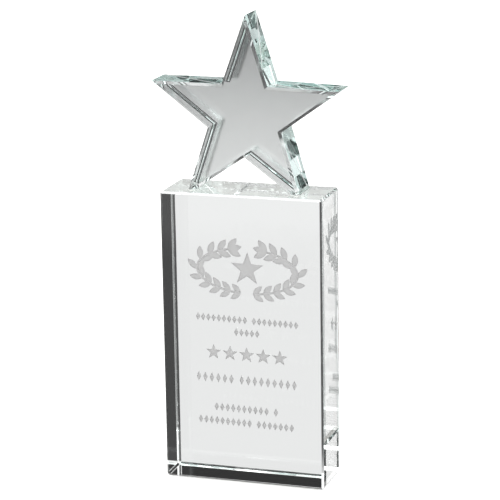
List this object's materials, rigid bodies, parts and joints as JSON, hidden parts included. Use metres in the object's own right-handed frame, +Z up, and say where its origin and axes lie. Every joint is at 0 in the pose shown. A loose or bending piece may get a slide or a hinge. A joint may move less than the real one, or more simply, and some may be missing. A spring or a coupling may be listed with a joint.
{
  "type": "star trophy",
  "caption": "Bevelled crystal star, silvered on its back, standing on two feet bonded to the top of a clear rectangular crystal column.",
  "frame": {"origin": "middle of the column's flat underside, on the surface that the trophy stands on", "axes": "+Z up, -Y out of the engraved front face, +X to the viewer's right when facing the front"},
  "size_m": [0.0924, 0.03, 0.2277],
  "materials": {
    "crystal": "polished optical crystal, colourless with a faint green edge",
    "silver_film": "satin silver mirror film, sealed at the back",
    "clear_adhesive": "cured clear adhesive"
  },
  "bodies": {
    "root": {"column": "crystal", "star": "crystal", "silver_backing": "silver_film", "left_bond": "clear_adhesive", "right_bond": "clear_adhesive"}
  },
  "joints": []
}
